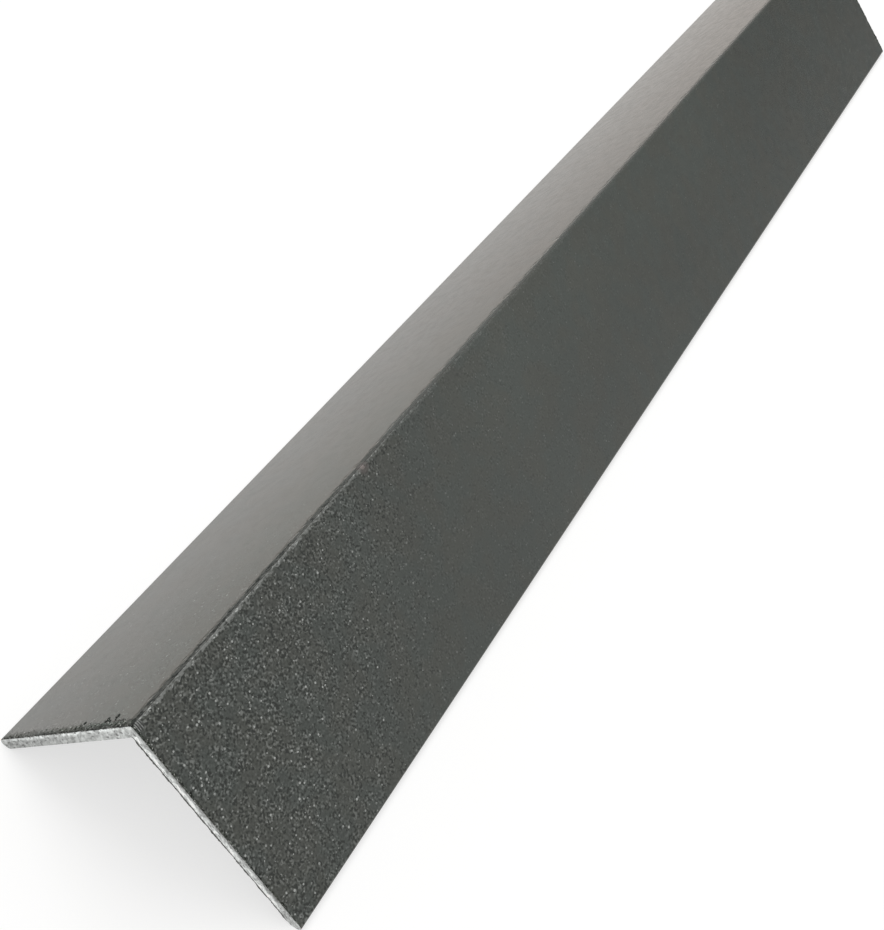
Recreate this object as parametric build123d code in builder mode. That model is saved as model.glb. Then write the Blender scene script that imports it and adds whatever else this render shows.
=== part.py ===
from build123d import *
import math
import os

# Equal-leg angle section: one straight length of stock, cut square at both ends.
# It stands heel up, like a tent, on the two rounded toes. The origin is on the floor under the
# heel, halfway along the piece. +Y runs along the piece, +Z points up through the heel.
# All sizes are in millimetres.

leg_width = 60.0  # each leg, measured on its outer face from the sharp heel corner to the toe
wall = 3.0  # thickness of both legs
cut_length = 500.0  # from one sawn end to the other

heel_radius = 1.0  # outer corner, where the two legs meet
root_radius = 0.5  # inner corner, opposite the heel
toe_outer_radius = 0.8  # small rounding where a toe meets the outer face
toe_land = 0.2  # narrow flat left on the toe between its two roundings
toe_inner_radius = wall - toe_outer_radius - toe_land  # the larger rounding, towards the inner face

# Each leg slopes down at 45 degrees, and the lowest line of the section is on the inner rounding
# of each toe. The arc's centre lies this far below the sharp heel corner, and its radius more
# gives the height at which that corner stands above the floor.
slope = math.sqrt(0.5)
toe_centre_drop = (leg_width + wall - 2 * toe_inner_radius) * slope
heel_height = toe_centre_drop + toe_inner_radius

# The section's own plane: its corner is the heel, its first axis follows the right leg's outer
# face down to the toe, and its second axis points out of that face. The left leg's outer face
# then lies along the negative second axis.
section_plane = Plane(origin=(0, 0, heel_height), x_dir=(1, 0, -1), z_dir=(0, -1, 0))

with BuildPart() as angle_section:
    with BuildSketch(section_plane):
        with BuildLine():
            Polyline(
                (0, 0),
                (leg_width, 0),
                (leg_width, -wall),
                (wall, -wall),
                (wall, -leg_width),
                (0, -leg_width),
                close=True,
            )
        make_face()
    extrude(amount=cut_length / 2, both=True)

    # The six long edges, picked by height: the heel is the highest and the root is next on the
    # centre line. The inner corners of the toes are the lowest pair, the outer corners the widest.
    heel_edge = angle_section.edges().filter_by(Axis.Y).sort_by(Axis.Z)[-1]
    fillet(heel_edge, heel_radius)

    inner_toe_edges = angle_section.edges().filter_by(Axis.Y).group_by(Axis.Z)[0]
    fillet(inner_toe_edges, toe_inner_radius)

    long_edges = angle_section.edges().filter_by(Axis.Y)
    outer_toe_edges = [long_edges.sort_by(Axis.X)[0], long_edges.sort_by(Axis.X)[-1]]
    fillet(outer_toe_edges, toe_outer_radius)

    root_height = heel_height - wall / slope
    root_edge = angle_section.edges().filter_by(Axis.Y).sort_by_distance((0, 0, root_height))[0]
    fillet(root_edge, root_radius)

angle_section.part.label = "angle_section"
os.makedirs("parts", exist_ok=True)
export_step(angle_section.part, "parts/angle_section.step")
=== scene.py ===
import math

import bpy
import numpy as np
from mathutils import Matrix, Vector


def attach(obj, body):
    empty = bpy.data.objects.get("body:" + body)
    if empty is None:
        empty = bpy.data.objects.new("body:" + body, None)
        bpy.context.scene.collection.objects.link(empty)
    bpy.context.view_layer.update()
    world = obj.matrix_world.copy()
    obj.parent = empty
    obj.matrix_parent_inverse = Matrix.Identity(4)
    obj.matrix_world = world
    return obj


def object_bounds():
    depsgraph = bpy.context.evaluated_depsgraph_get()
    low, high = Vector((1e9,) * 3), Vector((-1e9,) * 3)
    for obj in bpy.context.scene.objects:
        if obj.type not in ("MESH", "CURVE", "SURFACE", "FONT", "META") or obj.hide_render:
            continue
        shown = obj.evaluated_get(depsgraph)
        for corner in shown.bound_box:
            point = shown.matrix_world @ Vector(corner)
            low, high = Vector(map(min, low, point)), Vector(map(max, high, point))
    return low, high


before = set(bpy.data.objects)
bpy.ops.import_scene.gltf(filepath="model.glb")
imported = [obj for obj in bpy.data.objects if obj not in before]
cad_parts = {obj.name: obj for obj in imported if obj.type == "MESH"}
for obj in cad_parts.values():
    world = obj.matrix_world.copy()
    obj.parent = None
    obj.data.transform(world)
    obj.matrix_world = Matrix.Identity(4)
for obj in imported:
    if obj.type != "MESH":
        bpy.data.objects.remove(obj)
cad_low, cad_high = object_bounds()


# ---- The viewpoint -------------------------------------------------------------------------------
# Someone stands over the right-hand side of the near end and looks down along the piece with a
# plain lens, so the length runs away to the upper right of the picture.

PICTURE_WIDTH, PICTURE_HEIGHT = 884, 930
FOCAL_PIXELS = 1244.26
OPTICAL_CENTRE = (400.05, 430.57)  # picture column and row that the lens points at
EYE = Vector((0.10011, -0.35107, 0.26332))
HEADING, LOOK_DOWN, ROLL = math.radians(25.558), math.radians(43.925), math.radians(6.576)

lens = bpy.data.cameras.new("viewpoint")
lens.sensor_width = 36.0
lens.lens = FOCAL_PIXELS / PICTURE_HEIGHT * lens.sensor_width
lens.shift_x = (PICTURE_WIDTH / 2 - OPTICAL_CENTRE[0]) / PICTURE_HEIGHT
lens.shift_y = (OPTICAL_CENTRE[1] - PICTURE_HEIGHT / 2) / PICTURE_HEIGHT
lens.clip_start = 0.01

viewpoint = bpy.data.objects.new("viewpoint", lens)
viewpoint.matrix_world = (
    Matrix.Translation(EYE)
    @ Matrix.Rotation(HEADING, 4, "Z")
    @ Matrix.Rotation(math.pi / 2 - LOOK_DOWN, 4, "X")
    @ Matrix.Rotation(ROLL, 4, "Z")
)
bpy.context.scene.collection.objects.link(viewpoint)
bpy.context.scene.camera = viewpoint
bpy.context.scene.view_settings.view_transform = "Standard"


# ---- The pale floor and the studio light ---------------------------------------------------------
# A wide matt floor that runs out of sight in an evenly lit white room, under one soft lamp. A white
# card facing up comes out white, so colours render about as written. Only in a gloss is the room
# dimmer towards its far end, and the floor dimmer and warmer further out to the left.

FLOOR_SIZE = 12.0
FLOOR_COLOUR = (0.44, 0.438, 0.433)
FLOOR_GLOW = 0.652  # what the floor adds to its own light where the eye or a gloss sees it
FAR_GLOW = 0.727  # the same, far outside the lamp's pool of light
LAMPLIT, UNLIT = 0.8, 2.4  # how far out that pool starts to fade, and where it has faded
NEAR_TINT, FAR_TINT = (1.033, 0.993, 0.971), (0.675, 0.572, 0.508)  # of the glow that a gloss sees
AWAY = Vector((-13.0, 1.0, 0.0))  # the tint turns from near to far in this direction
AWAY_STARTS, AWAY_ENDS = 0.45, 1.45
ROOM_LIGHT = 0.62  # what the room gives to matt surfaces
DIM_SIDE = Vector((0.0, 1.0, 0.0))  # a gloss that looks this way sees the dimmer end of the room
DIM_STARTS, DIM_FULL, DIM_LEVEL = 0.68, 0.98, 0.10  # cosines from that direction, and its level
LAMP_SIZE = 0.95
LAMP_PLACE = Vector((-0.40, 0.22, 1.10))
LAMP_WATTS = 4.6


def add(tree, kind, inputs=None, **settings):
    """A node of that kind with its settings. Each named or numbered input takes a value, or a link
    from another node's output."""
    made = tree.nodes.new(kind)
    for name, value in settings.items():
        setattr(made, name, value)
    for name, value in (inputs or {}).items():
        if isinstance(value, bpy.types.NodeSocket):
            tree.links.new(value, made.inputs[name])
        else:
            made.inputs[name].default_value = value
    return made


def sum_up(tree, operation, *values, clamp=False):
    """The output of a Math node on these numbers or outputs."""
    inputs = dict(enumerate(values))
    return add(tree, "ShaderNodeMath", inputs, operation=operation, use_clamp=clamp).outputs[0]


def product(tree, first, *others):
    """All the values multiplied."""
    for other in others:
        first = sum_up(tree, "MULTIPLY", first, other)
    return first


def spread(tree, value, low, high, start=0.0, end=1.0, smooth=True):
    """The value carried from low..high to start..end, held at the ends."""
    kind = "SMOOTHSTEP" if smooth else "LINEAR"
    ends = {"Value": value, "From Min": low, "From Max": high, "To Min": start, "To Max": end}
    return add(tree, "ShaderNodeMapRange", ends, interpolation_type=kind).outputs[0]


def seen_directly(tree):
    """1 for rays from the eye, from a gloss or through glass, and 0 for light on matt surfaces."""
    path = add(tree, "ShaderNodeLightPath").outputs
    seen = sum_up(tree, "MAXIMUM", path["Is Camera Ray"], path["Is Glossy Ray"])
    return sum_up(tree, "MAXIMUM", seen, path["Is Transmission Ray"])


def blend(tree, factor, first, second):
    """The second colour laid over the first, by the factor."""
    made = add(tree, "ShaderNodeMix", data_type="RGBA")
    for name, value in {"Factor": factor, "A": first, "B": second}.items():
        socket = next(s for s in made.inputs if s.name == name and s.enabled)
        if isinstance(value, bpy.types.NodeSocket):
            tree.links.new(value, socket)
        else:
            socket.default_value = value if name == "Factor" else (*value, 1)
    return next(s for s in made.outputs if s.enabled)


def flat_square(name, size):
    """A square on the floor about the origin, facing up."""
    corners = np.array([(-1, -1, 0), (1, -1, 0), (1, 1, 0), (-1, 1, 0)]) * size / 2
    mesh = bpy.data.meshes.new(name)
    mesh.from_pydata(corners.tolist(), [], [(0, 1, 2, 3)])
    made = bpy.data.objects.new(name, mesh)
    bpy.context.scene.collection.objects.link(made)
    return made


floor_paint = bpy.data.materials.new("pale_floor")
floor_paint.use_nodes = True
tree = floor_paint.node_tree
shader = tree.nodes["Principled BSDF"]
shader.inputs["Base Color"].default_value = (*FLOOR_COLOUR, 1)
shader.inputs["Roughness"].default_value = 1.0
shader.inputs["Specular IOR Level"].default_value = 0.0
in_gloss = add(tree, "ShaderNodeLightPath").outputs["Is Glossy Ray"]
where = add(tree, "ShaderNodeTexCoord").outputs["Object"]
away = add(tree, "ShaderNodeVectorMath", {0: where, 1: AWAY}, operation="DOT_PRODUCT")
away = spread(tree, away.outputs["Value"], AWAY_STARTS, AWAY_ENDS, smooth=False)
gloss_tint = blend(tree, away, NEAR_TINT, FAR_TINT)
tree.links.new(blend(tree, in_gloss, (1, 1, 1), gloss_tint), shader.inputs["Emission Color"])
far_off = add(tree, "ShaderNodeVectorMath", {0: where}, operation="LENGTH").outputs["Value"]
glow = spread(tree, far_off, LAMPLIT, UNLIT, FLOOR_GLOW, FAR_GLOW)
glow = product(tree, seen_directly(tree), glow)
tree.links.new(glow, shader.inputs["Emission Strength"])

floor = flat_square("pale_floor", FLOOR_SIZE)
floor.data.materials.append(floor_paint)

room = bpy.data.worlds.new("white_room")
room.use_nodes = True
tree = room.node_tree
background = tree.nodes["Background"]
background.inputs["Color"].default_value = (1, 1, 1, 1)
white = sum_up(tree, "MULTIPLY_ADD", seen_directly(tree), 1 - ROOM_LIGHT, ROOM_LIGHT)
direction = add(tree, "ShaderNodeTexCoord").outputs["Generated"]
towards = add(tree, "ShaderNodeVectorMath", {0: direction, 1: DIM_SIDE}, operation="DOT_PRODUCT")
dimmed = spread(tree, towards.outputs["Value"], DIM_STARTS, DIM_FULL, 1.0, DIM_LEVEL, smooth=False)
in_gloss = add(tree, "ShaderNodeLightPath").outputs["Is Glossy Ray"]
level = add(tree, "ShaderNodeMix", {"Factor": in_gloss, "A": white, "B": dimmed})
tree.links.new(level.outputs["Result"], background.inputs["Strength"])
bpy.context.scene.world = room

lamp = bpy.data.lights.new("soft_lamp", "AREA")
lamp.shape = "DISK"
lamp.size = LAMP_SIZE
lamp.energy = LAMP_WATTS
soft_lamp = bpy.data.objects.new("soft_lamp", lamp)
facing = LAMP_PLACE.to_track_quat("Z", "Y").to_matrix().to_4x4()
soft_lamp.matrix_world = Matrix.Translation(LAMP_PLACE) @ facing
bpy.context.scene.collection.objects.link(soft_lamp)


# ---- The angle section ---------------------------------------------------------------------------
# One length of equal-leg aluminium angle, coated all round with a dark fleck finish before it was
# sawn to length, so the two sawn ends are bright bare metal. The CAD solid is shown as it is, and
# only its finish is made here.

MM = 0.001
LEG = 60.0
WALL = 3.0
HEEL_RADIUS = 1.0
HALF_LENGTH = cad_high.y / MM
HEEL_TOP = cad_high.z / MM
HEEL_HEIGHT = HEEL_TOP + HEEL_RADIUS * (math.sqrt(2) - 1)  # where the two outer faces would meet
SAWN_SKIN = 0.002  # what is nearer to a cut than this is the sawn face itself
HEEL_TURN = 0.3  # the left leg's looks turn into the right leg's over this much on each side

USUAL = (0.3, 0.7)  # most of a cloudy noise lies between these
COAT_COLOUR = (0.0490, 0.0590, 0.0500)
METAL_COLOUR = (0.785, 0.83, 0.825)
METAL_ROUGHNESS = 0.42


def group(name, inputs, outputs):
    """An empty shader node group with these inputs and outputs: its tree, its input node's sockets
    and its output node's sockets."""
    tree = bpy.data.node_groups.new(name, "ShaderNodeTree")
    for way, sockets in (("INPUT", inputs), ("OUTPUT", outputs)):
        for socket_name, kind in sockets.items():
            tree.interface.new_socket(socket_name, in_out=way, socket_type="NodeSocket" + kind)
    return tree, tree.nodes.new("NodeGroupInput").outputs, tree.nodes.new("NodeGroupOutput").inputs


def noise(tree, place, size, detail=2.0, shift=0.0, **settings):
    """Cloudy noise, about 0 to 1, with soft lumps about that size in millimetres. The shift picks
    another part of the same endless noise."""
    moved = add(tree, "ShaderNodeVectorMath", {0: place, 1: (shift, shift, shift)}, operation="ADD")
    inputs = {"Vector": moved.outputs[0], "Scale": 1 / size, "Detail": detail, **settings}
    return add(tree, "ShaderNodeTexNoise", inputs).outputs["Fac"]


def stretched(tree, place, along_x, along_y, along_z):
    """The place with each axis drawn out by its factor, so that a noise on it is stretched."""
    inputs = {0: place, 1: (1 / along_x, 1 / along_y, 1 / along_z)}
    return add(tree, "ShaderNodeVectorMath", inputs, operation="MULTIPLY").outputs[0]


def scaled(tree, colour, factor):
    """The colour or vector times the factor."""
    inputs = {0: colour, "Scale": factor}
    return add(tree, "ShaderNodeVectorMath", inputs, operation="SCALE").outputs[0]


def band(tree, value, low, high, soft):
    """1 where the value lies from low to high, falling to 0 over the soft width outside them."""
    rising = spread(tree, value, low - soft, low)
    return product(tree, rising, spread(tree, value, high + soft, high))


def in_millimetres(tree):
    """The place on the piece, in millimetres."""
    return scaled(tree, add(tree, "ShaderNodeTexCoord").outputs["Object"], 1 / MM)


# The coating's own texture: a dark paint with slow clouds, covered in short raised strokes lit with
# painted highlights and sunk hollows darkened with painted shade, that come and go in patches, and
# scattered with pale flecks that are painted glints. Sizes are in millimetres, and its height is in
# units of RELIEF.
WARM_COAT_COLOUR = (0.0530, 0.0582, 0.0470)
HOLLOW_SHADE_COLOUR = (0.0017, 0.0050, 0.0010)
FLECK_GLINT_COLOUR = (0.445, 0.46, 0.437)
COAT_CLOUDS, WARM_AREAS, REGIONS = 38.0, 11.0, 7.5
MOTTLE, PATCHES, STROKES, FLECK_SPACING = 3.2, 2.2, 0.6, 0.85
CLOUD_TONE, MOTTLE_TONE = (0.875, 0.995), (-0.05, 0.05)  # of the paint, at the ends of each noise
PATCH_LIFE, REGION_LIFE = (0.36, 0.60, 0.30, 1.50), (0.35, 0.60, 0.75, 1.15)
HOLLOW_SHADE_STRENGTH, STROKE_HIGHLIGHT_STRENGTH, FLECK_GLINT_STRENGTH = 1.65, 0.20, 1.1
FLECK_SIZES, FLECK_EDGE = (0.02, 0.42), 0.12  # in cells
FLECK_RARITY = 3.0  # the power that leaves only a few flecks bright
COAT_ROUGHNESS = (0.17, 0.24)
RELIEF = 0.008  # height of the strokes and depth of the hollows
SWELL = 3.0  # height of the mottle

fleck_coat, given, put = group(
    "fleck_coat",
    {"Place": "Vector", "Contrast": "Float"},
    {"Colour": "Color", "Roughness": "Float", "Height": "Float"},
)
tree = fleck_coat
place = given["Place"]
clouds = noise(tree, place, COAT_CLOUDS, 3.0)
warmth = noise(tree, place, WARM_AREAS, 2.0, shift=181.0)
mottle = noise(tree, place, MOTTLE, 2.0, shift=31.0)
patches = spread(tree, noise(tree, place, PATCHES, 1.0, shift=131.0), *PATCH_LIFE)
regions = spread(tree, noise(tree, place, REGIONS, 1.0, shift=161.0), *REGION_LIFE)
lively = product(tree, given["Contrast"], patches, regions)

strokes = noise(tree, place, STROKES, 0.0, shift=97.0, Distortion=0.4)
swing = spread(tree, strokes, *USUAL, -1.0, 1.0, smooth=False)
strength = product(tree, swing, swing, lively)
raised = product(tree, strength, sum_up(tree, "GREATER_THAN", swing, 0.0))
sunk = sum_up(tree, "SUBTRACT", strength, raised)

tone = spread(tree, clouds, *USUAL, *CLOUD_TONE, smooth=False)
tone = sum_up(tree, "ADD", tone, spread(tree, mottle, *USUAL, *MOTTLE_TONE, smooth=False))
paint = blend(tree, spread(tree, warmth, 0.4, 0.6), COAT_COLOUR, WARM_COAT_COLOUR)
paint = scaled(tree, paint, tone)
# Painted shade: the sunk hollows are darkened.
hollow_shade = sum_up(tree, "MULTIPLY", sunk, HOLLOW_SHADE_STRENGTH, clamp=True)
paint = blend(tree, hollow_shade, paint, HOLLOW_SHADE_COLOUR)

# Painted glints: the pale flecks, and painted highlights on the raised strokes.
cells = add(tree, "ShaderNodeTexVoronoi", {"Vector": place, "Scale": 1 / FLECK_SPACING})
chance = add(tree, "ShaderNodeSeparateColor", {0: cells.outputs["Color"]}).outputs
reach = spread(tree, chance["Red"], 0.0, 1.0, *FLECK_SIZES, smooth=False)
fleck = spread(tree, sum_up(tree, "SUBTRACT", reach, cells.outputs["Distance"]), 0.0, FLECK_EDGE)
brightness = product(tree, sum_up(tree, "POWER", chance["Green"], FLECK_RARITY), FLECK_GLINT_STRENGTH)
pale = product(tree, fleck, brightness, lively)
pale = sum_up(tree, "MULTIPLY_ADD", raised, STROKE_HIGHLIGHT_STRENGTH, pale, clamp=True)
tree.links.new(blend(tree, pale, paint, FLECK_GLINT_COLOUR), put["Colour"])

satin = spread(tree, mottle, *USUAL, *COAT_ROUGHNESS, smooth=False)
tree.links.new(satin, put["Roughness"])
swell = product(tree, mottle, given["Contrast"], SWELL)
tree.links.new(sum_up(tree, "ADD", swell, sum_up(tree, "SUBTRACT", raised, sunk)), put["Height"])


# Where a point is on the piece: its depth into the wall from the outer face, how far down its leg
# it is from the heel, how far it is from the nearer cut, and which leg it is on.
section_finish = bpy.data.materials.new("fleck_coat_on_bare_metal")
section_finish.use_nodes = True
tree = section_finish.node_tree
shader = tree.nodes["Principled BSDF"]
place = in_millimetres(tree)
axis = add(tree, "ShaderNodeSeparateXYZ", {0: place}).outputs
along = axis["Y"]
sideways = sum_up(tree, "ABSOLUTE", axis["X"])
below_heel = sum_up(tree, "SUBTRACT", HEEL_HEIGHT, axis["Z"])
depth = product(tree, sum_up(tree, "SUBTRACT", below_heel, sideways), math.sqrt(0.5))
down_leg = product(tree, sum_up(tree, "ADD", below_heel, sideways), math.sqrt(0.5))
from_cut = sum_up(tree, "SUBTRACT", HALF_LENGTH, sum_up(tree, "ABSOLUTE", along))
at_end = sum_up(tree, "LESS_THAN", from_cut, SAWN_SKIN)
on_right = spread(tree, axis["X"], -HEEL_TURN, HEEL_TURN)

# The coating's texture, with its painted highlights, glints and shade, is liveliest by the heel at
# the near end, and calmer from there on and towards the toe. The left leg's is calm all over, where
# the light would not catch the glints, but for the last few millimetres beside a cut. Each set of
# four here and below is for spread(): two limits, mostly in millimetres, and the values there.
TOE_COUNTS = 0.85  # a millimetre down the leg calms this much of what one along the piece does
CORNER_CALM = (-212.0, -117.0, 1.08, 0.15)  # by both
TOE_CALM = (10.0, 20.0, 1.12, 1.0)  # down the leg
FAR_CALM = (-150.0, 10.0, 1.0, 0.4)  # along the piece
LEFT_CALM = (4.0, 0.5, 0.3, 1.6)  # from a cut

away_from_corner = sum_up(tree, "MULTIPLY_ADD", down_leg, TOE_COUNTS, along)
calm = spread(tree, away_from_corner, *CORNER_CALM)
calm = product(tree, calm, spread(tree, down_leg, *TOE_CALM), spread(tree, along, *FAR_CALM))
by_side = spread(tree, on_right, 0.0, 1.0, spread(tree, from_cut, *LEFT_CALM), 1.0)
coat = add(tree, "ShaderNodeGroup", node_tree=fleck_coat)
tree.links.new(place, coat.inputs["Place"])
tree.links.new(product(tree, calm, by_side), coat.inputs["Contrast"])

# Along the heel: a thin broken dull line darkened with painted shade on the left of the rounding,
# and to its right a pale band that is partly rubbed coating and partly a painted highlight, with
# painted glints of bare metal in places. Both wander sideways and fade along the piece.
RUBBED_AND_HIGHLIGHT_COLOUR = (0.205, 0.212, 0.20)
GLINT_COLOUR = (0.62, 0.64, 0.62)
# Painted shade on the heel and along the cuts, and on the sawn ends dark coating with painted
# shade.
SHADE_AND_DARK_COAT_COLOUR = (0.022, 0.025, 0.022)
WANDER_SIZE, LENGTHS_SIZE, WEAR_SIZE, BEAD_SIZE = 1.1, 2.2, 0.6, 0.55
WANDER = 0.48  # how far to each side the lines wander
RUBBED_AND_HIGHLIGHT_BAND, DULL_SHADE_BAND = (0.0, 0.55, 0.20), (-1.05, -0.42, 0.22)  # each from, to and how soft
HEEL_MARKS_FADE = (-222.0, -118.0, 1.0, 0.24), (-150.0, -20.0, 1.0, 0.3)  # along the piece

heel_top = spread(tree, axis["Z"], HEEL_TOP - 1.9, HEEL_TOP - 1.6)
heel_calm = product(tree, *(spread(tree, along, *fade) for fade in HEEL_MARKS_FADE))
wander = noise(tree, stretched(tree, place, 1, 1.8, 1), WANDER_SIZE, 2.0, shift=17.0)
wander = spread(tree, wander, 0.25, 0.75, -WANDER, WANDER, smooth=False)
across = sum_up(tree, "ADD", axis["X"], wander)
lengths = noise(tree, stretched(tree, place, 1, 1.6, 1), LENGTHS_SIZE, 1.0, shift=29.0)
wear = noise(tree, stretched(tree, place, 1, 2.2, 1), WEAR_SIZE, 2.0, shift=67.0)
beads = noise(tree, stretched(tree, place, 1, 1.5, 1), BEAD_SIZE, 1.0, shift=61.0)
# The pale band: rubbed coating with a painted highlight and painted glints. The dark line: painted
# shade.
rubbed_and_highlit = product(tree, band(tree, across, *RUBBED_AND_HIGHLIGHT_BAND), heel_top, heel_calm)
glints = product(tree, rubbed_and_highlit, spread(tree, wear, 0.58, 0.70), spread(tree, beads, 0.45, 0.60))
rubbed_and_highlit = product(tree, rubbed_and_highlit, spread(tree, beads, 0.35, 0.62, 0.15, 1.35))
rubbed_and_highlit = product(tree, rubbed_and_highlit, spread(tree, wear, 0.35, 0.6, 0.5, 1.0))
dull_shade_line = product(tree, band(tree, across, *DULL_SHADE_BAND), heel_top, heel_calm)
dull_shade_line = product(tree, dull_shade_line, spread(tree, beads, 0.40, 0.65, 1.0, 0.35))
dull_shade_line = product(tree, dull_shade_line, spread(tree, lengths, 0.38, 0.58, 0.5, 1.35))

# On the left leg the coating turns over gently towards the heel. Its height falls with a power of
# the way from three or four millimetres down the leg up to the heel's shoulder, and by a little
# more over the crown itself. It falls most about a quarter of the way along the piece.
ROLL_STARTS = (-215.0, -60.0, 3.05, 4.0)  # how far down the leg, by the place along the piece
ROLL_ENDS, CROWN_ENDS = 1.45, 0.7  # down the leg
ROLL_POWER = 2.7
ROLL_DEPTH, ROLL_FADES = (-215.0, -150.0, -0.213, -0.42), (-110.0, 0.0, 1.0, 0.66)
CROWN_DEPTH = (-80.0, 40.0, -0.27, -0.10)
ROLL_WANDER, ROLL_LENGTHS = -0.8, (0.55, -0.55)  # how far its line strays, by the two noises

bend = sum_up(tree, "MULTIPLY_ADD", wander, ROLL_WANDER, down_leg)
bend = sum_up(tree, "ADD", bend, spread(tree, lengths, *USUAL, *ROLL_LENGTHS, smooth=False))
bend = spread(tree, bend, spread(tree, along, *ROLL_STARTS), ROLL_ENDS, smooth=False)
rolled = product(tree, sum_up(tree, "POWER", bend, ROLL_POWER), spread(tree, along, *ROLL_DEPTH))
rolled = product(tree, rolled, spread(tree, along, *ROLL_FADES))
crown = spread(tree, down_leg, ROLL_ENDS, CROWN_ENDS, smooth=False)
crown = product(tree, spread(tree, along, *CROWN_DEPTH), crown)
rolled = sum_up(tree, "ADD", crown, rolled)
rolled = product(tree, rolled, spread(tree, on_right, 0.5, 0.0))

# Fine saw scratches run beside the near cut where the blade first touched the heel, with painted
# shade in their grooves, and the gloss is dulled for a millimetre or two along both cuts, where
# painted shade darkens it too, most on the left leg by the heel.
SCRATCH_SPACING = 0.52
SCRATCH_WAVER = 0.35  # how far they stray from straight
SCRATCH_COLOUR, GROOVE_SHADE_COLOUR = (0.42, 0.43, 0.42), (0.01, 0.01, 0.01)
SCRATCH_RUN, SCRATCHES = (0.4, 1.7, 0.9), (0.1, 2.1, 0.3)  # down the leg, and from the cut
SCRATCH_FADES = (1.6, 0.6, 0.6, 1.0)  # from the cut
DULLED_EDGE, DULLED_WAVER = (1.3, -1.0), -3.0  # how far from a cut
DULLED_RIGHT = 0.25  # how much the right leg has of it
SHADE_BY_CUT_LEG = (26.0, 6.0, 0.15, 0.8)  # down the leg

jog = noise(tree, place, 0.9, 1.0, shift=71.0)
lines = sum_up(tree, "MULTIPLY_ADD", jog, SCRATCH_WAVER, from_cut)
lines = sum_up(tree, "SINE", product(tree, lines, 2 * math.pi / SCRATCH_SPACING))
breaks = spread(tree, noise(tree, place, 0.7, 1.0, shift=73.0), 0.35, 0.55, 0.5, 1.3)
scratched = product(tree, band(tree, down_leg, *SCRATCH_RUN), band(tree, from_cut, *SCRATCHES))
scratched = product(tree, scratched, spread(tree, along, 0.0, -1.0), on_right)
scratched = product(tree, scratched, breaks, spread(tree, from_cut, *SCRATCH_FADES))
# The grooves are darkened with painted shade; the ridges between them are pale.
grooves = product(tree, scratched, spread(tree, lines, 0.0, 0.6))
ridges = product(tree, scratched, spread(tree, lines, -0.1, -0.7))
breath = noise(tree, place, 0.8, 2.0, shift=5.0)
dulled = spread(tree, sum_up(tree, "MULTIPLY_ADD", breath, DULLED_WAVER, from_cut), *DULLED_EDGE)
dulled = product(tree, dulled, spread(tree, on_right, 0.0, 1.0, 1.0, DULLED_RIGHT))
# Painted shade along the cuts, most on the left leg by the heel.
shade_by_cut = product(tree, dulled, spread(tree, down_leg, *SHADE_BY_CUT_LEG))

# The coating's colour, layer on layer: greener by the heel on the left near the near end, paler by
# the heel on the right about halfway along, then the heel's pale band with its painted highlight
# and glints and its line of painted shade, one small pale reddish spot of painted highlight on the
# heel, the scratches with painted shade in their grooves, and painted shade along the cuts.
GREENER = (0.88, 1.006, 0.972)
GREENER_LEG, GREENER_HEEL, GREENER_END = (42.0, 4.0), (2.5, 5.0), (-40.0, -150.0)
PALER = 0.22
PALER_LEG, PALER_MIDDLE = (44.0, 2.0), (-90.0, 60.0, 60.0)
REDDISH_GLINT_PLACE = (0.45, -161.4, 43.2)
REDDISH_GLINT_COLOUR, REDDISH_GLINT_RIM_COLOUR = (0.205, 0.175, 0.163), (0.104, 0.087, 0.079)
REDDISH_GLINT, REDDISH_GLINT_RIM = (0.15, -0.05, 0.0, 0.9), (1.7, 0.3, 0.0, 0.6)  # from its place
REDDISH_GLINT_RAGGED = -1.4  # how much the wear makes its outline ragged

greener = product(tree, spread(tree, down_leg, *GREENER_LEG), spread(tree, along, *GREENER_END))
greener = product(tree, greener, spread(tree, down_leg, *GREENER_HEEL))
greener = product(tree, greener, spread(tree, on_right, 0.5, 0.0))
plain = coat.outputs["Colour"]
green = add(tree, "ShaderNodeVectorMath", {0: plain, 1: GREENER}, operation="MULTIPLY").outputs[0]
skin = blend(tree, greener, plain, green)
# Paler by the heel on the right, about halfway along.
paler_part = product(tree, spread(tree, down_leg, *PALER_LEG), band(tree, along, *PALER_MIDDLE))
paler_part = product(tree, paler_part, on_right)
skin = scaled(tree, skin, sum_up(tree, "MULTIPLY_ADD", paler_part, PALER, 1.0))
skin = blend(tree, rubbed_and_highlit, skin, RUBBED_AND_HIGHLIGHT_COLOUR)
skin = blend(tree, glints, skin, GLINT_COLOUR)
skin = blend(tree, dull_shade_line, skin, SHADE_AND_DARK_COAT_COLOUR)
# A painted highlight: a small pale spot on the heel, tinted reddish, with a dimmer rim.
from_reddish_glint = add(tree, "ShaderNodeVectorMath", {0: place, 1: REDDISH_GLINT_PLACE}, operation="DISTANCE")
from_reddish_glint = sum_up(tree, "MULTIPLY_ADD", wear, REDDISH_GLINT_RAGGED, from_reddish_glint.outputs["Value"])
skin = blend(tree, spread(tree, from_reddish_glint, *REDDISH_GLINT_RIM), skin, REDDISH_GLINT_RIM_COLOUR)
skin = blend(tree, spread(tree, from_reddish_glint, *REDDISH_GLINT), skin, REDDISH_GLINT_COLOUR)
skin = blend(tree, ridges, skin, SCRATCH_COLOUR)
skin = blend(tree, grooves, skin, GROOVE_SHADE_COLOUR)
skin = blend(tree, shade_by_cut, skin, SHADE_AND_DARK_COAT_COLOUR)
skin_roughness = coat.outputs["Roughness"]
for layer, rougher in ((dull_shade_line, 0.7), (rubbed_and_highlit, 0.35), (dulled, 0.25), (shade_by_cut, 0.5)):
    skin_roughness = sum_up(tree, "MULTIPLY_ADD", layer, rougher, skin_roughness)

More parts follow.
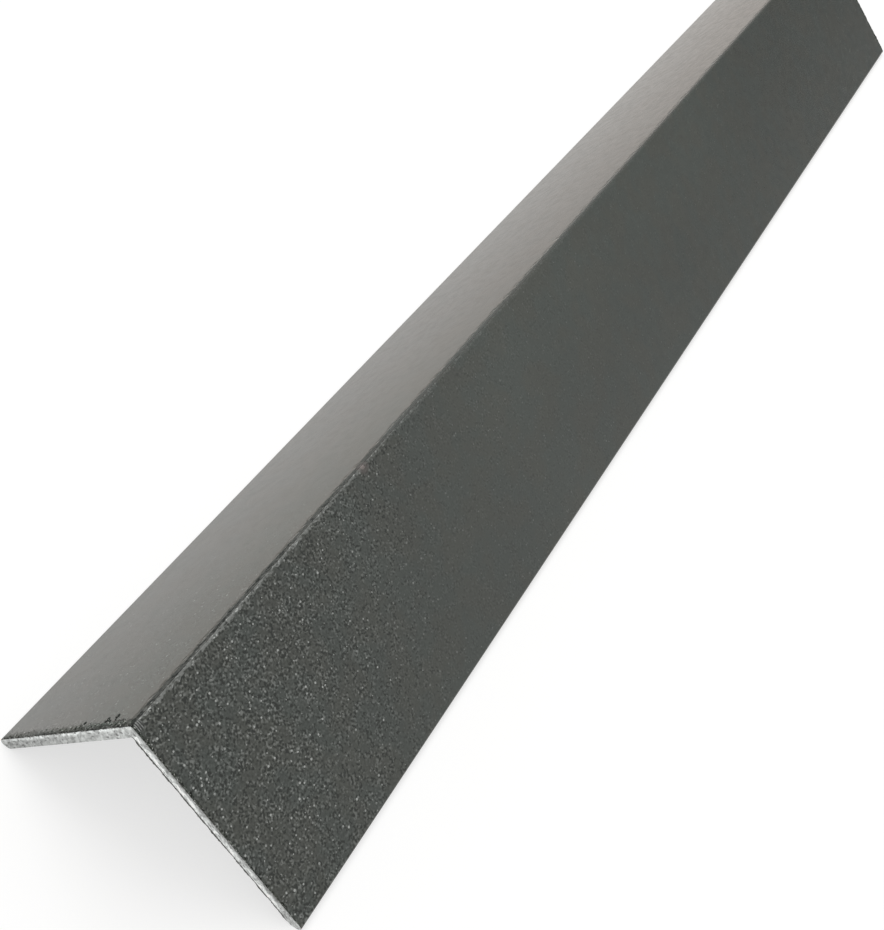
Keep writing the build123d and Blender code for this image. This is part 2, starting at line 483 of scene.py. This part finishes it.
# The sawn metal is mottled, with short dark dashes along the leg. The left leg has a bright rim
# under its outer edge and gets greyer towards the toe; the right leg is painted brighter than the
# left as a painted reflection, most of all on its inner side.
BLOTCH_SIZE, SPOT_SIZE, DASH_SIZE = 1.5, 0.7, 0.9
BLOTCH_TONE, SPOT_TONE, DASH_TONE = (0.66, 1.30), (-0.30, 0.30), (0.59, 0.69, 1.0, 0.38)
LEFT_SPOTS = 0.65  # how strong the left leg's spots are
LEFT_GREY, LEFT_RIM, RIM_DEPTH = (4.0, 46.0, 0.66, 0.47), (40.0, 54.0, 0.86, 0.70), (1.25, 0.40)
RIGHT_SHINE = (0.5, 1.9, 0.50, 0.98)  # into the wall
RIGHT_TOE, RIGHT_TOE_TONE = (50.0, 56.0), 0.62

on_face = add(tree, "ShaderNodeCombineXYZ", {0: down_leg, 1: depth, 2: axis["X"]}).outputs[0]
blotches = noise(tree, stretched(tree, on_face, 2.0, 1.0, 1), BLOTCH_SIZE, 1.0, shift=11.0)
blotches = spread(tree, blotches, *USUAL, *BLOTCH_TONE, smooth=False)
spots = noise(tree, stretched(tree, on_face, 1.4, 1.0, 1), SPOT_SIZE, 1.0, shift=19.0)
spots = spread(tree, spots, *USUAL, *SPOT_TONE, smooth=False)
spots = product(tree, spots, spread(tree, on_right, 0.0, 1.0, LEFT_SPOTS, 1.0))
dashes = noise(tree, stretched(tree, on_face, 2.0, 0.8, 1), DASH_SIZE, 1.0, shift=83.0)
grey = spread(tree, down_leg, *LEFT_GREY)
left_tone = spread(tree, depth, *RIM_DEPTH, grey, spread(tree, down_leg, *LEFT_RIM))
# Painted reflection: the right face is brighter than the left, most of all on its inner side.
right_tone = spread(tree, depth, *RIGHT_SHINE)
right_tone = spread(tree, down_leg, *RIGHT_TOE, right_tone, RIGHT_TOE_TONE)
metal_tone = spread(tree, on_right, 0.0, 1.0, left_tone, right_tone, smooth=False)
metal_tone = product(tree, metal_tone, sum_up(tree, "ADD", blotches, spots))
metal_tone = product(tree, metal_tone, spread(tree, dashes, *DASH_TONE))
sawn = scaled(tree, METAL_COLOUR, metal_tone)

# Coating is dragged over the outer edge in nibbles, furthest about halfway down the right leg, and
# on that leg a thin dark line is also left along the inner edge. Both are partly dark coating and
# partly painted shade along those edges.
NIBBLE_SIZE = 0.45
NIBBLES = (0.35, 0.70, -0.10, 0.28)  # how deep into the wall they go
NIBBLED_LEG = (56.0, 50.0, 0.2, 1.0)  # down the leg
DRAGGED_LEG, SPARED_LEG, DRAGGED = (19.0, 32.0, 5.0), (40.0, 47.0), 0.16
INNER_LINE, INNER_WAVER = (WALL - 0.24, WALL - 0.12), 0.3
INNER_LEG = (LEG - 3.0, LEG - 5.0)

nibble = noise(tree, on_face, NIBBLE_SIZE, 2.0, shift=41.0)
outer = spread(tree, nibble, *NIBBLES, smooth=False)
outer = product(tree, outer, spread(tree, down_leg, *NIBBLED_LEG))
dragged = band(tree, down_leg, *DRAGGED_LEG)
dragged = sum_up(tree, "SUBTRACT", dragged, spread(tree, down_leg, *SPARED_LEG))
outer = sum_up(tree, "MULTIPLY_ADD", product(tree, dragged, on_right), DRAGGED, outer)
outer = spread(tree, sum_up(tree, "SUBTRACT", outer, depth), -0.08, 0.05)
inner = spread(tree, sum_up(tree, "MULTIPLY_ADD", nibble, INNER_WAVER, depth), *INNER_LINE)
inner = product(tree, inner, on_right, spread(tree, down_leg, *INNER_LEG))
coat_and_shade = sum_up(tree, "MAXIMUM", outer, inner)
bare = product(tree, at_end, sum_up(tree, "SUBTRACT", 1.0, coat_and_shade))

# Skin and bare metal together. The rolled height is in millimetres, so it is divided by RELIEF.
GLINT_METAL = 0.6  # how metallic a glint is
DASH_HEIGHT, GROOVE_HEIGHT = -3.0, -3.0

edge_skin = blend(tree, at_end, skin, SHADE_AND_DARK_COAT_COLOUR)
tree.links.new(blend(tree, bare, edge_skin, sawn), shader.inputs["Base Color"])
metallic = sum_up(tree, "MAXIMUM", bare, product(tree, glints, GLINT_METAL))
tree.links.new(metallic, shader.inputs["Metallic"])
roughness = spread(tree, bare, 0.0, 1.0, skin_roughness, METAL_ROUGHNESS, smooth=False)
tree.links.new(roughness, shader.inputs["Roughness"])
height = product(tree, coat.outputs["Height"], sum_up(tree, "SUBTRACT", 1.0, at_end))
height = sum_up(tree, "MULTIPLY_ADD", product(tree, dashes, at_end), DASH_HEIGHT, height)
height = sum_up(tree, "MULTIPLY_ADD", grooves, GROOVE_HEIGHT, height)
height = sum_up(tree, "MULTIPLY_ADD", rolled, 1 / RELIEF, height)
bump = add(tree, "ShaderNodeBump", {"Strength": 1.0, "Distance": RELIEF * MM, "Height": height})
tree.links.new(bump.outputs[0], shader.inputs["Normal"])
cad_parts["angle_section"].material_slots[0].material = section_finish


# ---- The torn edge of the coating ----------------------------------------------------------------
# The saw tore the coating and pushed it up into a low ragged lip round the outer edge of both sawn
# ends, wide on the left leg and narrow on the right. It is dull dark paint with bits of metal.

LIP_STEP = 0.1
LEFT_LIP_PLACES = (0.0, 1.5, 5.0, 14.0, 30.0, 56.0)  # down the left leg
LEFT_LIP_WIDTHS = (0.6, 1.3, 1.7, 1.4, 1.1, 0.5)
RIGHT_LIP_WIDTH = 0.55
LIP_HEIGHT = 0.17
LIP_SUNK = 0.05  # how far the lip's foot goes into the metal, so that no gap shows
LIP_INWARD = (0.0, 0.0, 0.04, 0.16, 0.34, 0.55, 0.8, 1.0, 1.0)  # its ring, in widths from the cut
LIP_RISE = (-1.0, 0.45, 0.85, 1.0, 0.82, 0.5, 0.18, 0.0, -1.0)  # and in heights, -1 in the metal
LIP_FADE = 1.5  # the lip dies away over this at each toe
TOE_ROUNDING = 0.8
HEEL_BEND = HEEL_RADIUS * math.pi / 4  # from the top of the heel to where a flat face starts
FACE_END = HEEL_BEND + LEG - HEEL_RADIUS - TOE_ROUNDING
CUT_GAP = 0.004  # how far the small pieces stay back from the plane of the cut
KNOTS = 4000  # enough for the finest raggedness on the longest run

METAL_BIT_COLOUR = (0.5, 0.5, 0.48)
TORN_RELIEF = 0.02  # the coating's heights are this much to the unit here
TORN_GLOSS = 0.3  # plain paint has 0.5


def over_faces(run, lift):
    """x and z of points on the outer faces: run is measured from the top of the heel along the
    rounding and then down the flat, below 0 on the left leg, and lift is the height above the face.
    The turn is run / radius, held at 45 degrees, and what is left of the run follows the flat. No
    point goes above the top of the heel."""
    turn = np.clip(run / HEEL_RADIUS, -math.pi / 4, math.pi / 4)
    left_over = run - turn * HEEL_RADIUS
    x = (HEEL_RADIUS + lift) * np.sin(turn) + left_over * np.cos(turn)
    z = HEEL_TOP - HEEL_RADIUS + (HEEL_RADIUS + lift) * np.cos(turn) - left_over * np.sin(turn)
    return x, np.minimum(z, HEEL_TOP)


def ragged(run, size, seed):
    """Chance numbers from -1 to 1 along the run: one random knot each `size`, joined by half waves
    of a cosine."""
    knots = np.random.default_rng(seed).uniform(-1, 1, KNOTS)
    at = run / size + KNOTS / 2
    knot = np.floor(at).astype(int)
    step = (1 - np.cos(np.pi * (at - knot))) / 2
    return knots[knot] * (1 - step) + knots[knot + 1] * step


def closed_strips(name, points, material):
    """A piece made of closed strips. Points holds xyz in millimetres by strip, by station along it
    and by place round its ring. Each ring joins the next with four-sided faces, and the end rings
    are capped."""
    strips, stations, ring = points.shape[:3]
    number = np.arange(strips * stations * ring).reshape(strips, stations, ring)
    after = np.roll(number, -1, axis=2)
    sides = np.stack([number[:, :-1], number[:, 1:], after[:, 1:], after[:, :-1]], axis=-1)
    caps = np.concatenate([number[:, 0], number[:, -1, ::-1]])
    faces = sides.reshape(-1, 4).tolist() + caps.tolist()
    mesh = bpy.data.meshes.new(name)
    mesh.from_pydata((points.reshape(-1, 3) * MM).tolist(), [], faces)
    mesh.polygons.foreach_set("use_smooth", np.ones(len(mesh.polygons), bool))
    mesh.materials.append(material)
    mesh.validate()
    made = bpy.data.objects.new(name, mesh)
    bpy.context.scene.collection.objects.link(made)
    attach(made, "root")
    return made


# The torn paint is patchy. It is darkened with painted shade at the cut, most of all on the left
# leg, palest about one and a half millimetres from it, and dark again further off.
torn_coat = bpy.data.materials.new("torn_coat")
torn_coat.use_nodes = True
tree = torn_coat.node_tree
shader = tree.nodes["Principled BSDF"]
place = in_millimetres(tree)
coat = add(tree, "ShaderNodeGroup", node_tree=fleck_coat)
coat.inputs["Contrast"].default_value = 1.0
tree.links.new(place, coat.inputs["Place"])
axis = add(tree, "ShaderNodeSeparateXYZ", {0: place}).outputs
from_cut = sum_up(tree, "SUBTRACT", HALF_LENGTH, sum_up(tree, "ABSOLUTE", axis["Y"]))
bits = spread(tree, noise(tree, place, 0.35, 1.0, shift=23.0), 0.64, 0.70)
patchy = noise(tree, place, 0.6, 2.0, shift=43.0)
at_cut = spread(tree, axis["X"], -HEEL_TURN, HEEL_TURN, 0.40, 0.95)
shade = spread(tree, from_cut, 0.2, 0.7, at_cut, 0.95)
shade = product(tree, shade, spread(tree, from_cut, 0.7, 1.5, 1.0, 1.7))
shade = product(tree, shade, spread(tree, from_cut, 1.5, 2.2, 1.0, 0.25))
shade = product(tree, shade, spread(tree, patchy, 0.35, 0.65, 0.5, 1.7))
paint = scaled(tree, coat.outputs["Colour"], shade)
tree.links.new(blend(tree, bits, paint, METAL_BIT_COLOUR), shader.inputs["Base Color"])
tree.links.new(bits, shader.inputs["Metallic"])
tree.links.new(spread(tree, patchy, 0.35, 0.65, 0.85, 0.5), shader.inputs["Roughness"])
shader.inputs["Specular IOR Level"].default_value = TORN_GLOSS
relief = {"Strength": 1.0, "Distance": TORN_RELIEF * MM, "Height": coat.outputs["Height"]}
bump = add(tree, "ShaderNodeBump", relief)
tree.links.new(bump.outputs[0], shader.inputs["Normal"])


def torn_lip(name, end, seed):
    """The lip round one end's outer edge, end being -1 or 1. Its ring goes up a steep front at the
    cut, over a crest and down a long back. Width and height are the plain sizes times 1 plus ragged
    waves of several lengths, and the lip dies away at the toes."""
    run = np.arange(-FACE_END, FACE_END, LIP_STEP)
    inward = np.array(LIP_INWARD)
    rise = np.array(LIP_RISE)
    coarse, middle, fine = (ragged(run, size, seed + n) for n, size in enumerate((2.4, 0.8, 0.3)))
    left_width = np.interp(-run, LEFT_LIP_PLACES, LEFT_LIP_WIDTHS)
    plain = np.where(run < 0, left_width, RIGHT_LIP_WIDTH)
    width = plain * (1 + 0.35 * coarse + 0.35 * middle + 0.25 * fine)
    height = 0.9 + 0.4 * coarse + 0.55 * ragged(run, 0.55, seed + 7) + 0.35 * fine
    fade = np.clip((FACE_END - np.abs(run)) / LIP_FADE, 0, 1)
    height = LIP_HEIGHT * np.maximum(height, 0.1) * fade
    jitter = np.stack([ragged(run, 0.25, seed + 20 + n) for n in range(len(rise))], axis=1)
    lift = np.where(rise < 0, -LIP_SUNK, rise * (1 + 0.3 * jitter) * height[:, None])
    inward = np.where(rise < 0, 1.0, 1 + 0.25 * jitter) * inward * width[:, None]
    x, z = over_faces(np.broadcast_to(run[:, None], lift.shape), lift)
    y = end * (HALF_LENGTH - CUT_GAP - inward)
    points = np.stack([x, y, z], axis=-1)[::-end]
    return closed_strips(name, points[None], torn_coat)


torn_lip("torn_lip_near", -1, 11)
torn_lip("torn_lip_far", 1, 61)


# ---- Crumbs of coating ---------------------------------------------------------------------------
# Flakes and crumbs that the saw threw off lie stuck to the outer faces beside both cuts, most of
# them by the heel and on the left leg. They are the same dull torn paint.

FLAKES = (  # run from the heel, way from the cut, half length, half width, turn in degrees
    (-9.6, 3.6, 0.80, 0.60, 105.0),
    (-12.6, 2.9, 0.62, 0.50, 100.0),
    (-11.2, 2.0, 0.60, 0.48, 120.0),
    (-13.1, 1.8, 0.80, 0.55, 60.0),
    (-16.2, 1.6, 0.42, 0.34, 20.0),
    (-18.2, 1.0, 0.70, 0.50, 90.0),
    (-22.1, 2.5, 0.45, 0.38, 80.0),
    (-23.1, 1.8, 0.50, 0.40, 40.0),
    (-24.6, 1.2, 0.50, 0.40, 100.0),
    (-31.3, 1.2, 0.50, 0.32, 10.0),
)
LEFT_SHARE = 0.65  # of the crumbs
CRUMB_LATITUDES = (-75, -35, 5, 40, 75)
CRUMB_SIDES = 8
CRUMB_HALF_HEIGHT = 0.12  # at most


def crumbs(name, end, count, seed, flakes=()):
    """Small flattened lumps on the outer faces. Each is a globe in rings, with each point pushed in
    or out at random, stretched to its three half sizes, turned on the face and set into it. The
    loose ones crowd towards the heel and the cut, and the flakes come first."""
    chance = np.random.default_rng(seed)
    left = chance.random(count) < LEFT_SHARE
    run = np.where(left, -1, 1) * (1.5 + (FACE_END - 4) * chance.random(count) ** 1.6)
    left_way = 0.25 + 0.9 * np.abs(chance.normal(size=count))
    right_way = 0.15 + 0.5 * chance.random(count)
    way = np.where(left, left_way, right_way)
    half_length = 0.10 + 0.16 * chance.random(count) ** 2
    half_width = half_length * chance.uniform(0.5, 0.9, count)
    turn = chance.uniform(0, np.pi, count)
    lumps = np.stack([run, way, half_length, half_width, turn], axis=1)
    if flakes:
        chosen = np.array(flakes) * (1, 1, 1, 1, math.pi / 180)
        lumps = np.concatenate([chosen, lumps])
    run, way, half_length, half_width, turn = lumps.T[:, :, None, None]
    latitude = np.radians(CRUMB_LATITUDES)[None, :, None]
    longitude = np.linspace(0, 2 * np.pi, CRUMB_SIDES, endpoint=False)[None, None, :]
    push = chance.uniform(0.75, 1.25, (len(lumps), len(CRUMB_LATITUDES), CRUMB_SIDES))
    along = np.cos(latitude) * np.cos(longitude) * half_length * push
    beside = np.cos(latitude) * np.sin(longitude) * half_width * push
    half_height = np.minimum(half_width * 0.7, CRUMB_HALF_HEIGHT)
    lift = half_height * (0.45 + np.sin(latitude) * push)
    run = run + along * np.cos(turn) - beside * np.sin(turn)
    way = np.maximum(way + along * np.sin(turn) + beside * np.cos(turn), 0.01)
    x, z = over_faces(run, lift)
    y = np.broadcast_to(end * (HALF_LENGTH - way), x.shape)
    points = np.stack([x, y, z], axis=-1)[:, ::-end]
    return closed_strips(name, points, torn_coat)


crumbs("coat_crumbs_near", -1, 150, 5, FLAKES)
crumbs("coat_crumbs_far", 1, 90, 8)


# ---- The inner burr ------------------------------------------------------------------------------
# Where the blade came out it left a thin fin of metal and paint hanging off the right leg's inner
# edge at both ends. It is a few tenths of a millimetre long and dark.

BURR_STEP = 0.15
BURR_DROP = 0.32
BURR_THICKNESS = 0.2
BURR_ROOT = 0.12  # how far the fin's foot goes into the wall
BURR_STARTS, BURR_ENDS = WALL + 0.6, LEG - 2.3  # from the sharp heel corner along the inner face
BURR_INWARD = (0.0, 0.02, 0.35, 1.0)  # its ring, in thicknesses from the cut


def inner_burr(name, end, seed):
    """The fin under the right leg at one end. Its ring is a thin wedge that hangs by a ragged drop
    from the inner face, and it dies away at the root and at the toe."""
    down = np.arange(BURR_STARTS, BURR_ENDS, BURR_STEP)
    drop = BURR_DROP * (1 + 0.6 * ragged(down, 1.7, seed) + 0.5 * ragged(down, 0.45, seed + 1))
    fade = np.clip(np.minimum(down - BURR_STARTS, BURR_ENDS - down), 0.05, 1)
    drop = np.maximum(drop, 0.02) * fade
    hanging = np.array([False, True, True, False])
    inward = np.array(BURR_INWARD) * BURR_THICKNESS
    into_wall = WALL + np.where(hanging, drop[:, None], -BURR_ROOT)
    x = (down[:, None] - into_wall) * math.sqrt(0.5)
    z = HEEL_HEIGHT - (down[:, None] + into_wall) * math.sqrt(0.5)
    y = np.broadcast_to(end * (HALF_LENGTH - CUT_GAP - inward), x.shape)
    points = np.stack([x, y, z], axis=-1)[::end]
    return closed_strips(name, points[None], torn_coat)


inner_burr("inner_burr_near", -1, 31)
inner_burr("inner_burr_far", 1, 37)
